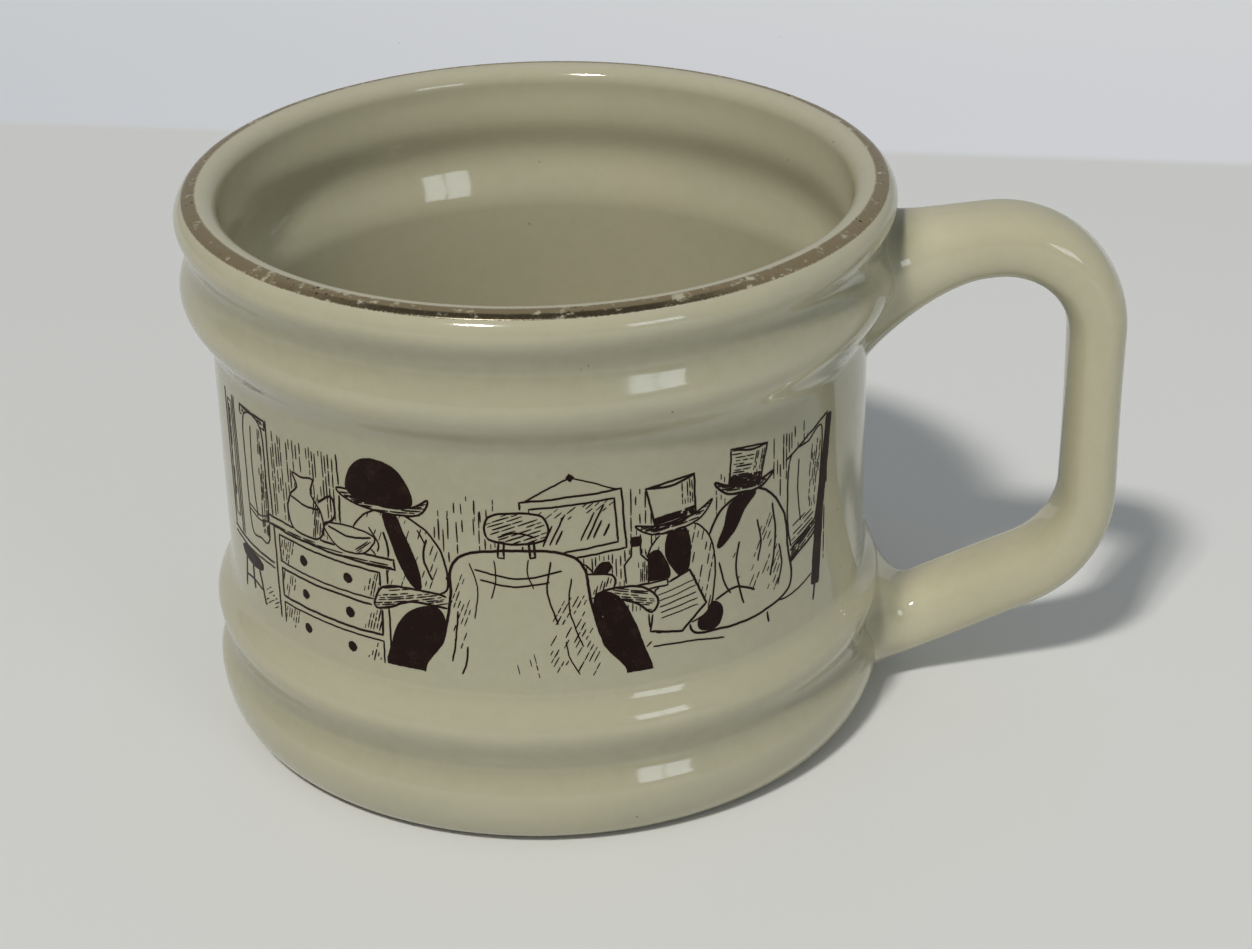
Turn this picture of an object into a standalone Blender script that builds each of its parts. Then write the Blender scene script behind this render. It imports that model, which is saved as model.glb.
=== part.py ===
"""Ringed ceramic shaving mug: a slip-cast body, a cast handle luted on with slip, and two fired films.

Sizes are in millimetres and are scaled to metres where points become vertices. +Z is up and the
handle points along +X. The origin is on the table, under the middle of the mug's overall box.
"""
import math
from collections import namedtuple

import bmesh
import bpy
from mathutils import Vector

MM = 0.001

# Body
HEIGHT = 84.0
PANEL_RADIUS = 48.8
WALL = 4.5
FLOOR = 5.5
PANEL_TOP_BELOW_RIM = 23.0
PANEL_FOOT = 25.1
FOOT_RECESS = 1.6
FOOT_FACE_INSET = 2.2
FOOT_FACE_WIDTH = 5.0
FLOOR_FILLET = 9.0

# Rings round the body: how far each stands out from the panel, and where its crest is. The inside
# follows their waves by a share, so the wall is thicker behind a ring.
LIP_PROUD = 4.0
LIP_CREST_BELOW_RIM = 3.2
LIP_TOP_OUTSET = 0.5
LIP_INNER_DROP = 2.6
LIP_INNER_STEP = 2.0
WAIST_PROUD = 2.4
WAIST_BELOW_RIM = 8.2
UPPER_RING_PROUD = 4.0
UPPER_RING_BELOW_RIM = 13.8
LOWER_RING_PROUD = 2.6
LOWER_RING_HEIGHT = 19.1
GROOVE_PROUD = 1.2
GROOVE_HEIGHT = 13.4
FOOT_RING_PROUD = 2.9
FOOT_RING_HEIGHT = 8.6
INSIDE_FOLLOWS = 0.45

# Handle: it is set out from the panel, its top run from the rim and its low corner from the table
HANDLE_STANDS_OUT = 38.6
HANDLE_WIDTH = 13.0
LIMB_THICKNESS = 8.4
RUN_THICKNESS = 10.6
TOP_RUN_BELOW_RIM = 9.3
TOP_RUN_RISE = 3.8
TOP_CORNER_RADIUS = 14.6
LOWER_CORNER_HEIGHT = 22.1
LOWER_CORNER_RADIUS = 16.0
LOWER_RUN_DROP = 15.4
SECTION_SQUARENESS = 2.5

# Sizes that follow from those above
PANEL_TOP = HEIGHT - PANEL_TOP_BELOW_RIM
LIP_TOP_RADIUS = PANEL_RADIUS + LIP_TOP_OUTSET
FOOT_FACE_OUTER = PANEL_RADIUS - FOOT_FACE_INSET
FOOT_FACE_INNER = FOOT_FACE_OUTER - FOOT_FACE_WIDTH
HANDLE_REACH = PANEL_RADIUS + HANDLE_STANDS_OUT
TOP_RUN_HEIGHT = HEIGHT - TOP_RUN_BELOW_RIM

# Roots of the handle. Each spreads to a footprint on the body, centred at a height, and its sides
# start to spread a little way off the body: outer_lift on the side away from the finger gap and
# gap_lift on the side next to it. gap_side is -1 where the gap is below the root and 1 where above.
Root = namedtuple("Root", "centre half_height half_width flare_length outer_lift gap_lift gap_side")
UPPER_ROOT = Root(
    centre=HEIGHT - 17.6,
    half_height=11.4,
    half_width=HANDLE_WIDTH / 2.0 + 3.9,
    flare_length=13.0,
    outer_lift=2.2,
    gap_lift=5.4,
    gap_side=-1.0,
)
LOWER_ROOT = Root(
    centre=11.8,
    half_height=10.2,
    half_width=HANDLE_WIDTH / 2.0 + 4.1,
    flare_length=7.5,
    outer_lift=2.4,
    gap_lift=2.6,
    gap_side=1.0,
)
FLARE_STEPS = (0.0, 0.14, 0.32, 0.55, 0.78)

# Joints and films
LUTE_THICKNESS = 1.2
SEAT_GAP = 0.3
FILM_GAP = 0.1
FILM_THICKNESS = 0.2
GILT_INSET = 0.1
GILT_WIDTH = 2.2
PRINT_MARGIN_ABOVE = 0.8
PRINT_MARGIN_BELOW = 2.0
PRINT_HALF_ANGLE = 67.5
PRINT_CENTRE_ANGLE = -90.0
GILT_INNER_RADIUS = LIP_TOP_RADIUS + GILT_INSET
GILT_OUTER_RADIUS = GILT_INNER_RADIUS + GILT_WIDTH
PRINT_BOTTOM = PANEL_FOOT + PRINT_MARGIN_BELOW
PRINT_TOP = PANEL_TOP - PRINT_MARGIN_ABOVE

# Facets
BODY_SEGMENTS = 64
RING_STEPS = 4
LIP_STEPS = 5
INNER_LIP_STEPS = 3
GILT_STEPS = 3
SECTION_POINTS = 32
PATH_SPACING = 6.0
ARC_STEP_DEGREES = 14.0
CAP_RINGS = (0.82, 0.64, 0.48, 0.32, 0.16)
SLOPE_STEP = 0.05
SHARP_DEGREES = 50.0
MERGE_DISTANCE = 0.01

# The origin is under the middle of the box that holds the body and the handle.
LARGEST_RADIUS = PANEL_RADIUS + max(LIP_PROUD, UPPER_RING_PROUD, LOWER_RING_PROUD, FOOT_RING_PROUD)
AXIS_X = -(HANDLE_REACH - LARGEST_RADIUS) / 2.0

CREAM_GLAZE = (0.56, 0.53, 0.39)
GILT_BROWN = (0.30, 0.22, 0.12)
INK_BROWN = (0.045, 0.02, 0.012)
SLIP_CREAM = (0.60, 0.57, 0.44)


# ---------------------------------------------------------------- body profile

def ease(start, end, share):
    """Half a cosine wave from start to end, level at both."""
    return start + (end - start) * (1.0 - math.cos(math.pi * share)) / 2.0


def outer_stations():
    """(height, radius) of each crest and hollow of the outside, from the lip's crest down."""
    return [
        (HEIGHT - LIP_CREST_BELOW_RIM, PANEL_RADIUS + LIP_PROUD),
        (HEIGHT - WAIST_BELOW_RIM, PANEL_RADIUS + WAIST_PROUD),
        (HEIGHT - UPPER_RING_BELOW_RIM, PANEL_RADIUS + UPPER_RING_PROUD),
        (PANEL_TOP, PANEL_RADIUS),
        (PANEL_FOOT, PANEL_RADIUS),
        (LOWER_RING_HEIGHT, PANEL_RADIUS + LOWER_RING_PROUD),
        (GROOVE_HEIGHT, PANEL_RADIUS + GROOVE_PROUD),
        (FOOT_RING_HEIGHT, PANEL_RADIUS + FOOT_RING_PROUD),
    ]


def outside_radius(height):
    """Radius of the outside at a height, with a quarter ellipse at the lip and at the foot."""
    stations = outer_stations()
    top_height, top_radius = stations[0]
    foot_height, foot_radius = stations[-1]
    if height >= top_height:
        rise = min((height - top_height) / (HEIGHT - top_height), 1.0)
        return LIP_TOP_RADIUS + (top_radius - LIP_TOP_RADIUS) * math.sqrt(1.0 - rise * rise)
    if height <= foot_height:
        drop = min((foot_height - height) / foot_height, 1.0)
        return FOOT_FACE_OUTER + (foot_radius - FOOT_FACE_OUTER) * math.sqrt(1.0 - drop * drop)
    for (high, radius_high), (low, radius_low) in zip(stations, stations[1:]):
        if low <= height <= high:
            return ease(radius_high, radius_low, (high - height) / (high - low))
    return PANEL_RADIUS


def quarter_ellipse(start, end, steps, start_is_level):
    """Points after start and up to end on a quarter ellipse that leaves start level or upright."""
    points = []
    for step in range(1, steps + 1):
        angle = math.pi / 2.0 * step / steps
        early = math.sin(angle)
        late = 1.0 - math.cos(angle)
        along, across = (early, late) if start_is_level else (late, early)
        points.append((start[0] + (end[0] - start[0]) * along, start[1] + (end[1] - start[1]) * across))
    return points


def body_profile():
    """(radius, height) from the middle of the floor, over the rim and down to the underside."""
    stations = outer_stations()
    panel_inner = PANEL_RADIUS - WALL
    inside = [
        (panel_inner + (radius - PANEL_RADIUS) * INSIDE_FOLLOWS, height) for height, radius in stations[1:4]
    ]
    inner_lip = (inside[0][0] + LIP_INNER_STEP, HEIGHT - LIP_INNER_DROP)
    rim = (LIP_TOP_RADIUS, HEIGHT)

    points = [(0.0, FLOOR), (panel_inner - FLOOR_FILLET, FLOOR)]
    points += quarter_ellipse(points[-1], (panel_inner, FLOOR + FLOOR_FILLET), LIP_STEPS, True)
    points.append(inside[2])
    for low, high in ((inside[2], inside[1]), (inside[1], inside[0]), (inside[0], inner_lip)):
        for step in range(1, RING_STEPS + 1):
            share = step / RING_STEPS
            points.append((ease(low[0], high[0], share), low[1] + (high[1] - low[1]) * share))
    points += quarter_ellipse(inner_lip, rim, INNER_LIP_STEPS, False)

    crest = (stations[0][1], stations[0][0])
    points += quarter_ellipse(rim, crest, LIP_STEPS, True)
    for (high, radius_high), (low, radius_low) in zip(stations, stations[1:]):
        steps = 1 if radius_high == radius_low else RING_STEPS
        for step in range(1, steps + 1):
            share = step / steps
            points.append((ease(radius_high, radius_low, share), high + (low - high) * share))
    points += quarter_ellipse(points[-1], (FOOT_FACE_OUTER, 0.0), LIP_STEPS, False)
    points.append((FOOT_FACE_INNER, 0.0))
    points.append((FOOT_FACE_INNER - FOOT_RECESS, FOOT_RECESS))
    points.append((0.0, FOOT_RECESS))
    return points


# ---------------------------------------------------------------- Blender helpers

def named_collection(name):
    """A new collection in the scene."""
    collection = bpy.data.collections.new(name)
    bpy.context.scene.collection.children.link(collection)
    return collection


def glaze_material(name, colour, roughness, metallic):
    """A plain material of one colour."""
    material = bpy.data.materials.new(name)
    material.use_nodes = True
    shader = material.node_tree.nodes["Principled BSDF"]
    shader.inputs["Base Color"].default_value = (*colour, 1.0)
    shader.inputs["Roughness"].default_value = roughness
    shader.inputs["Metallic"].default_value = metallic
    return material


def finished_object(name, mesh, material, collection, parent):
    """The object that shows a mesh, with its material, standing on the mug's axis."""
    mesh.materials.append(material)
    item = bpy.data.objects.new(name, mesh)
    collection.objects.link(item)
    item.parent = parent
    return item


def line_mesh(name, points, closed):
    """A profile in the XZ plane: (radius, height) points joined by edges, with the +X side out."""
    mesh = bpy.data.meshes.new(name)
    vertices = [(radius * MM, 0.0, height * MM) for radius, height in points]
    edges = [(i, i + 1) for i in range(len(points) - 1)]
    if closed:
        edges.append((len(points) - 1, 0))
    mesh.from_pydata(vertices, edges, [])
    return mesh


def add_screw(item, angle, steps):
    """Turns the profile about the object's Z axis."""
    screw = item.modifiers.new("turned", "SCREW")
    screw.axis = "Z"
    screw.angle = angle
    screw.steps = steps
    screw.render_steps = steps
    screw.use_merge_vertices = True
    screw.merge_threshold = MERGE_DISTANCE * MM
    screw.use_smooth_shade = True


# ---------------------------------------------------------------- sub-parts

def make_body(collection, parent):
    """The slip-cast body, turned from its profile."""
    material = glaze_material("cream_glaze", CREAM_GLAZE, 0.12, 0.0)
    mesh = line_mesh("mug_body", body_profile(), closed=False)
    body = finished_object("mug_body", mesh, material, collection, parent)
    add_screw(body, 2.0 * math.pi, BODY_SEGMENTS)


def offset_outline(points, distance):
    """The points of an open (radius, height) line, each moved square to the line, to its right."""
    moved = []
    for index, (radius, height) in enumerate(points):
        before = points[max(index - 1, 0)]
        after = points[min(index + 1, len(points) - 1)]
        along = Vector((after[0] - before[0], after[1] - before[1])).normalized()
        moved.append((radius - along.y * distance, height + along.x * distance))
    return moved


def lip_points_between(inner_radius, outer_radius, steps):
    """Points on the lip's outer shoulder, from the inner radius out to the outer radius."""
    crest_height = HEIGHT - LIP_CREST_BELOW_RIM
    crest_radius = PANEL_RADIUS + LIP_PROUD
    points = []
    for step in range(steps + 1):
        radius = inner_radius + (outer_radius - inner_radius) * step / steps
        share = (radius - LIP_TOP_RADIUS) / (crest_radius - LIP_TOP_RADIUS)
        height = crest_height + LIP_CREST_BELOW_RIM * math.sqrt(1.0 - share * share)
        points.append((radius, height))
    return points


def make_gilt_band(collection, parent):
    """A closed ring of lustre film that lies on the lip's shoulder."""
    material = glaze_material("worn_gilt", GILT_BROWN, 0.35, 0.6)
    lip = lip_points_between(GILT_INNER_RADIUS, GILT_OUTER_RADIUS, GILT_STEPS)
    under = offset_outline(lip, FILM_GAP)
    over = offset_outline(under, FILM_THICKNESS)
    mesh = line_mesh("gilt_rim_band", over + under[::-1], closed=True)
    band = finished_object("gilt_rim_band", mesh, material, collection, parent)
    add_screw(band, 2.0 * math.pi, BODY_SEGMENTS)


def make_transfer(collection, parent):
    """A sheet of transfer film round the front of the panel, on the body's own facets."""
    material = glaze_material("ink_print", INK_BROWN, 0.3, 0.0)
    radius = PANEL_RADIUS + FILM_GAP
    facet = 360.0 / BODY_SEGMENTS
    steps = round(2.0 * PRINT_HALF_ANGLE / facet)
    start = math.radians(PRINT_CENTRE_ANGLE - steps * facet / 2.0)
    mesh = line_mesh("transfer_print", [(radius, PRINT_TOP), (radius, PRINT_BOTTOM)], closed=False)
    film = finished_object("transfer_print", mesh, material, collection, parent)
    film.rotation_euler = (0.0, 0.0, start)
    add_screw(film, math.radians(steps * facet), steps)
    solid = film.modifiers.new("film", "SOLIDIFY")
    solid.thickness = FILM_THICKNESS * MM
    solid.offset = 1.0


# ---------------------------------------------------------------- handle

def handle_path():
    """(x, z) points of the handle's middle line, and the way it runs there, from root to root."""
    limb_x = HANDLE_REACH - LIMB_THICKNESS / 2.0
    start = Vector((PANEL_RADIUS, TOP_RUN_HEIGHT - TOP_RUN_RISE))
    top_corner = Vector((limb_x, TOP_RUN_HEIGHT))
    low_corner = Vector((limb_x, LOWER_CORNER_HEIGHT))
    end = Vector((PANEL_RADIUS, LOWER_CORNER_HEIGHT - LOWER_RUN_DROP))
    path = []
    reached = start + (top_corner - start).normalized() * (UPPER_ROOT.flare_length + UPPER_RING_PROUD)
    for corner, after, radius in (
        (top_corner, low_corner, TOP_CORNER_RADIUS),
        (low_corner, end, LOWER_CORNER_RADIUS),
    ):
        before_way = (corner - reached).normalized()
        after_way = (after - corner).normalized()
        turn = before_way.angle(after_way)
        tangent = radius * math.tan(turn / 2.0)
        path += straight(reached, corner - before_way * tangent)
        path += arc(corner - before_way * tangent, before_way, turn, radius)
        reached = corner + after_way * tangent
    after_way = (end - low_corner).normalized()
    last = end - after_way * (LOWER_ROOT.flare_length + FOOT_RING_PROUD)
    path += straight(reached, last)
    path.append((last, after_way))
    return path


def straight(start, end):
    """Evenly spaced stations from start up to, but not at, end."""
    way = (end - start).normalized()
    count = max(1, round((end - start).length / PATH_SPACING))
    return [(start + (end - start) * step / count, way) for step in range(count)]


def arc(start, way, turn, radius):
    """Stations on an arc that turns clockwise, from its start up to, but not at, its end."""
    inward = Vector((way.y, -way.x))
    centre = start + inward * radius
    count = max(2, math.ceil(math.degrees(turn) / ARC_STEP_DEGREES))
    stations = []
    for step in range(count):
        angle = turn * step / count
        spoke = -inward * math.cos(angle) + way * math.sin(angle)
        ahead = way * math.cos(angle) + inward * math.sin(angle)
        stations.append((centre + spoke * radius, ahead))
    return stations


def squared_circle(angle):
    """A point on a circle of radius one with its sides pushed out towards a square."""
    power = 2.0 / SECTION_SQUARENESS
    across = math.copysign(abs(math.cos(angle)) ** power, math.cos(angle))
    along = math.copysign(abs(math.sin(angle)) ** power, math.sin(angle))
    return across, along


def section_ring(centre, way, thickness):
    """The handle's section about a station, as points in 3D."""
    outward = Vector((-way.y, way.x))
    ring = []
    for index in range(SECTION_POINTS):
        across, along = squared_circle(2.0 * math.pi * index / SECTION_POINTS)
        flat = centre + outward * (along * thickness / 2.0)
        ring.append(Vector((flat.x, across * HANDLE_WIDTH / 2.0, flat.y)))
    return ring


def on_body(across, height, stand_off):
    """The point on the +X side at that y and height, stand_off away from the body's surface."""
    above = outside_radius(height + SLOPE_STEP)
    below = outside_radius(height - SLOPE_STEP)
    slope = (above - below) / (2.0 * SLOPE_STEP)
    radius = outside_radius(height) + stand_off * math.hypot(1.0, slope)
    return Vector((math.sqrt(radius * radius - across * across), across, height))


def footprint_ring(root, share, stand_off, turned_over):
    """Points round a root's outline on the body, shrunk towards its centre by share."""
    side = -1.0 if turned_over else 1.0
    ring = []
    for index in range(SECTION_POINTS):
        across, along = squared_circle(2.0 * math.pi * index / SECTION_POINTS)
        height = root.centre + side * along * root.half_height * share
        ring.append(on_body(across * root.half_width * share, height, stand_off))
    return ring


def flare_rings(root, tube_ring, way, stand_off, turned_over):
    """Rings that spread from the handle's section to its root on the body, root first."""
    feet = footprint_ring(root, 1.0, stand_off, turned_over)
    rings = []
    for share in FLARE_STEPS:
        ring = []
        for foot, tube in zip(feet, tube_ring):
            towards_gap = 0.5 + 0.5 * root.gap_side * (foot.z - root.centre) / root.half_height
            lift = root.outer_lift + (root.gap_lift - root.outer_lift) * towards_gap
            reach = (on_body(tube.y, tube.z, stand_off + lift).x - tube.x) / way.x
            bend = Vector((tube.x + way.x * reach, tube.y, tube.z + way.y * reach))
            point = foot * (1.0 - share) ** 2
            point += bend * (2.0 * share * (1.0 - share))
            point += tube * share ** 2
            ring.append(point)
        rings.append(ring)
    return rings


def loft(name, rings, first_centre, last_centre):
    """A closed mesh through rings of equal length, fanned to a point at each end."""
    shape = bmesh.new()
    rows = [[shape.verts.new(point * MM) for point in ring] for ring in rings]
    for row, following in zip(rows, rows[1:]):
        for index in range(len(row)):
            ahead = (index + 1) % len(row)
            shape.faces.new((row[index], row[ahead], following[ahead], following[index]))
    for row, centre, flipped in ((rows[0], first_centre, True), (rows[-1], last_centre, False)):
        middle = shape.verts.new(centre * MM)
        for index in range(len(row)):
            pair = (row[index], row[(index + 1) % len(row)])
            shape.faces.new((*pair[::-1], middle) if flipped else (*pair, middle))
    bmesh.ops.recalc_face_normals(shape, faces=shape.faces)
    bmesh.ops.triangulate(shape, faces=shape.faces)
    mesh = bpy.data.meshes.new(name)
    shape.to_mesh(mesh)
    shape.free()
    mesh.shade_smooth()
    mesh.set_sharp_from_angle(angle=math.radians(SHARP_DEGREES))
    return mesh


def thickness_along(share):
    """Section thickness along the handle: thick at both runs and thin down the limb."""
    return RUN_THICKNESS + (LIMB_THICKNESS - RUN_THICKNESS) * math.sin(math.pi * share) ** 2


def make_handle(collection, parent):
    """The handle, whose two ends are hollowed to sit on the slip at the body."""
    material = glaze_material("cream_glaze_handle", CREAM_GLAZE, 0.12, 0.0)
    path = handle_path()
    rings = []
    for index, (centre, way) in enumerate(path):
        rings.append(section_ring(centre, way, thickness_along(index / (len(path) - 1))))
    stand_off = SEAT_GAP + LUTE_THICKNESS + SEAT_GAP
    first_way = path[0][1]
    last_way = path[-1][1]
    top = [footprint_ring(UPPER_ROOT, share, stand_off, False) for share in CAP_RINGS[::-1]]
    top += flare_rings(UPPER_ROOT, rings[0], -first_way, stand_off, False)
    low = [footprint_ring(LOWER_ROOT, share, stand_off, True) for share in CAP_RINGS[::-1]]
    low += flare_rings(LOWER_ROOT, rings[-1], last_way, stand_off, True)
    mesh = loft(
        "handle",
        top + rings + low[::-1],
        on_body(0.0, UPPER_ROOT.centre, stand_off),
        on_body(0.0, LOWER_ROOT.centre, stand_off),
    )
    finished_object("handle", mesh, material, collection, parent)


def make_slip_joint(name, root, collection, parent):
    """The pad of slip that glues one root of the handle to the body, curved to both."""
    material = glaze_material(name + "_slip", SLIP_CREAM, 0.2, 0.0)
    near = SEAT_GAP
    far = SEAT_GAP + LUTE_THICKNESS
    rings = [footprint_ring(root, share, near, False) for share in CAP_RINGS[::-1]]
    rings.append(footprint_ring(root, 1.0, near, False))
    rings.append(footprint_ring(root, 1.0, far, False))
    rings += [footprint_ring(root, share, far, False) for share in CAP_RINGS]
    mesh = loft(name, rings, on_body(0.0, root.centre, near), on_body(0.0, root.centre, far))
    finished_object(name, mesh, material, collection, parent)


def main():
    for item in list(bpy.data.objects):
        bpy.data.objects.remove(item)
    collection = named_collection("shaving_mug")
    axis = bpy.data.objects.new("mug_axis", None)
    collection.objects.link(axis)
    axis.location = (AXIS_X * MM, 0.0, 0.0)
    make_body(collection, axis)
    make_handle(collection, axis)
    make_slip_joint("upper_slip_joint", UPPER_ROOT, collection, axis)
    make_slip_joint("lower_slip_joint", LOWER_ROOT, collection, axis)
    make_gilt_band(collection, axis)
    make_transfer(collection, axis)


main()
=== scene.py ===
"""Shaving mug: a ringed, glazed body with a luted handle, a rubbed gilt rim and a brown ink print.

The mug's lengths are written in millimetres and turned into metres where they become points. It
stands on the table with its handle along +X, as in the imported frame. Its height, its largest radius
and the print's ends come from that frame, and the other sizes are the named values below.
"""

import math
import random

import bmesh
import bpy
from mathutils import Matrix, Vector


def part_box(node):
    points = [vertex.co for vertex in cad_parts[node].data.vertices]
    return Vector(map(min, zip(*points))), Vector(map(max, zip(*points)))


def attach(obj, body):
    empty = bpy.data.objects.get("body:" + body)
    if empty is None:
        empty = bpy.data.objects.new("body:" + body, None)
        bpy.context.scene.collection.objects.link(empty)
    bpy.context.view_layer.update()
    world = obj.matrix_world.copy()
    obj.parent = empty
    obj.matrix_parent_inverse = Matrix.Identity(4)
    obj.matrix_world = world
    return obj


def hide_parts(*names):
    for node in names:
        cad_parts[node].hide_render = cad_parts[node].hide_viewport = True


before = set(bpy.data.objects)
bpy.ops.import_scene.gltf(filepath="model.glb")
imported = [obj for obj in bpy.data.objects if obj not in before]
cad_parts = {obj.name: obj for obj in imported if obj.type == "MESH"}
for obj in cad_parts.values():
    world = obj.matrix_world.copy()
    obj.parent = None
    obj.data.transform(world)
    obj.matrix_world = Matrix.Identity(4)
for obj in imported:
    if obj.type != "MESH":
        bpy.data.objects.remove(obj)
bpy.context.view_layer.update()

MM = 0.001

# ---------------- sizes from the frame

body_low, body_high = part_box("mug_body")
print_low, print_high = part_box("transfer_print")

AXIS_X = (body_low.x + body_high.x) / 2.0 / MM
HEIGHT = body_high.z / MM
LARGEST_RADIUS = (body_high.x - body_low.x) / 2.0 / MM
LIP_PROUD = 4.0
PANEL_RADIUS = LARGEST_RADIUS - LIP_PROUD
WALL = 4.5
FLOOR = 5.5
FLOOR_FILLET = 9.0
MIDDLE_RADII = (1.0, 12.0, 24.0)
PRINT_BOTTOM = print_low.z / MM
PRINT_TOP = print_high.z / MM
PANEL_TOP = PRINT_TOP + 0.8
PANEL_FOOT = PRINT_BOTTOM - 2.0

# Lip, rings and foot
LIP_CREST = HEIGHT - 3.2
LIP_TOP_RADIUS = PANEL_RADIUS + 0.5
LIP_INNER_DROP = 2.6
LIP_INNER_STEP = 0.7
WAIST = HEIGHT - 8.2
UPPER_RING = HEIGHT - 13.8
UPPER_RING_PROUD = 4.0
LOWER_RING = 19.1
GROOVE = 13.4
FOOT_RING = 8.6
INSIDE_FOLLOWS = 0.6
FOOT_FACE_OUTER = PANEL_RADIUS - 2.2
FOOT_FACE_INNER = FOOT_FACE_OUTER - 5.0
FOOT_RECESS = 1.6
STATIONS = (
    (LIP_CREST, PANEL_RADIUS + LIP_PROUD),
    (WAIST, PANEL_RADIUS + 2.4),
    (UPPER_RING, PANEL_RADIUS + UPPER_RING_PROUD),
    (PANEL_TOP, PANEL_RADIUS),
    (PANEL_FOOT, PANEL_RADIUS),
    (LOWER_RING, PANEL_RADIUS + 2.6),
    (GROOVE, PANEL_RADIUS + 1.2),
    (FOOT_RING, PANEL_RADIUS + 2.9),
)

# Handle
HANDLE_REACH = PANEL_RADIUS + 38.5
HANDLE_WIDTH = 13.0
LIMB_THICKNESS = 8.4
RUN_THICKNESS = 10.6
TOP_RUN_HEIGHT = HEIGHT - 9.3
TOP_RUN_RISE = 3.8
TOP_CORNER_RADIUS = 14.6
LOWER_CORNER_HEIGHT = 22.1
LOWER_CORNER_RADIUS = 16.0
LOWER_RUN_DROP = 15.4
SQUARENESS = 2.5
UPPER_STRAIGHT_START = 17.0
LOWER_STRAIGHT_END = 10.4

# Handle roots: where each meets the body, and how far its flare stands off on each side
UPPER_ROOT = {
    "centre": HEIGHT - 17.6, "half_height": 11.4, "half_width": 10.4, "up": 1.0,
    "outer_lift": 2.4, "gap_lift": 6.4, "gap_side": -1.0,
}
LOWER_ROOT = {
    "centre": 11.8, "half_height": 10.2, "half_width": 10.6, "up": -1.0,
    "outer_lift": 2.8, "gap_lift": 3.2, "gap_side": 1.0,
}
FLARE_STEPS = 18
EDGE_SUNK = 0.12
SKIRT_SHARE = 0.86
SKIRT_LIFT = 0.06
CAP_SHARE = 0.9
CAP_DEPTH = 1.2
CAP_MIDDLE_DEPTH = 1.6

# Gilt line
GILT_INSET = 0.1
GILT_WIDTH = 2.2

# Facets
AROUND = 192
RING_STEPS = 14
SECTION_POINTS = 64
PATH_STEP = 1.5
ARC_STEP = math.radians(4.0)


# ---------------- shader maths

def operator(operation, flipped=False):
    """A method that works out an operation with the value first, or last if flipped."""
    def apply(self, other):
        first, second = (other, self) if flipped else (self, other)
        return self.finish.node("ShaderNodeMath", {"operation": operation}, {0: first, 1: second})
    return apply


class Value:
    """A node's output. An operator on it adds the Math node that works it out."""

    def __init__(self, finish, socket):
        self.finish = finish
        self.socket = socket

    __add__ = operator("ADD")
    __radd__ = operator("ADD", True)
    __sub__ = operator("SUBTRACT")
    __rsub__ = operator("SUBTRACT", True)
    __mul__ = operator("MULTIPLY")
    __rmul__ = operator("MULTIPLY", True)
    __truediv__ = operator("DIVIDE")
    __pow__ = operator("POWER")

    def step(self, start, end):
        """0 before start and 1 after end, with an eased rise between them."""
        settings = {"interpolation_type": "SMOOTHSTEP"}
        ends = {"Value": self, "From Min": start, "From Max": end}
        return self.finish.node("ShaderNodeMapRange", settings, ends)


class Finish:
    """A material that is put together node by node."""

    def __init__(self, name):
        self.material = bpy.data.materials.new(name)
        self.material.use_nodes = True
        self.tree = self.material.node_tree
        self.shader = self.tree.nodes["Principled BSDF"]

    def feed(self, socket, value):
        if isinstance(value, Value):
            self.tree.links.new(value.socket, socket)
        elif isinstance(value, tuple) and len(value) == 3 and socket.type == "RGBA":
            socket.default_value = (*value, 1.0)
        else:
            socket.default_value = value

    def node(self, kind, settings, sockets, output=0):
        """Adds a node: first its settings, then the values or links of its sockets."""
        node = self.tree.nodes.new(kind)
        for key, value in settings.items():
            if key == "stops":
                self.set_stops(node.color_ramp, value)
            else:
                setattr(node, key, value)
        for key, value in sockets.items():
            self.feed(node.inputs[key], value)
        return Value(self, node.outputs[output])

    def set_stops(self, ramp, stops):
        while len(ramp.elements) < len(stops):
            ramp.elements.new(1.0)
        for element, (place, shade) in zip(ramp.elements, stops):
            element.position = place
            element.color = (*shade, 1.0) if isinstance(shade, tuple) else (shade, shade, shade, 1.0)

    def place(self):
        """Object coordinates in millimetres, with the mug's axis at x = 0."""
        whole = self.node("ShaderNodeTexCoord", {}, {}, "Object")
        moved = self.node(
            "ShaderNodeVectorMath", {"operation": "SUBTRACT"}, {0: whole, 1: (AXIS_X * MM, 0.0, 0.0)}
        )
        scale = {0: moved, "Scale": 1.0 / MM}
        return self.node("ShaderNodeVectorMath", {"operation": "SCALE"}, scale)

    def parts(self, vector):
        """The x, y and z of a vector."""
        split = self.node("ShaderNodeSeparateXYZ", {}, {0: vector})
        return [Value(self, socket) for socket in split.socket.node.outputs]

    def noise(self, vector, size, detail=2.0, rough=0.5):
        """Noise from 0 to 1 with lumps of about that size in millimetres."""
        sockets = {"Vector": vector, "Scale": 1.0 / size, "Detail": detail, "Roughness": rough}
        return self.node("ShaderNodeTexNoise", {}, sockets)

    def spots(self, vector, size):
        """Distance, in cells of that size, to the nearest of scattered points."""
        return self.node("ShaderNodeTexVoronoi", {}, {"Vector": vector, "Scale": 1.0 / size})

    def stretched(self, vector, scale):
        return self.node("ShaderNodeVectorMath", {"operation": "MULTIPLY"}, {0: vector, 1: scale})

    def mix(self, share, first, second):
        """A colour between two colours."""
        sockets = {0: share, 6: first, 7: second}
        return self.node("ShaderNodeMix", {"data_type": "RGBA"}, sockets, 2)

    def tint(self, colour, share, other):
        """A colour multiplied by another, by a share."""
        settings = {"data_type": "RGBA", "blend_type": "MULTIPLY"}
        return self.node("ShaderNodeMix", settings, {0: share, 6: colour, 7: other}, 2)

    def bump(self, height, distance, strength):
        sockets = {"Height": height, "Distance": distance * MM, "Strength": strength}
        return self.node("ShaderNodeBump", {}, sockets)

    def surface(self, **sockets):
        """Sets the shader's sockets, named with _ for each space."""
        for key, value in sockets.items():
            self.feed(self.shader.inputs[key.replace("_", " ")], value)
        return self.material


# ---------------- modelling helpers

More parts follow.
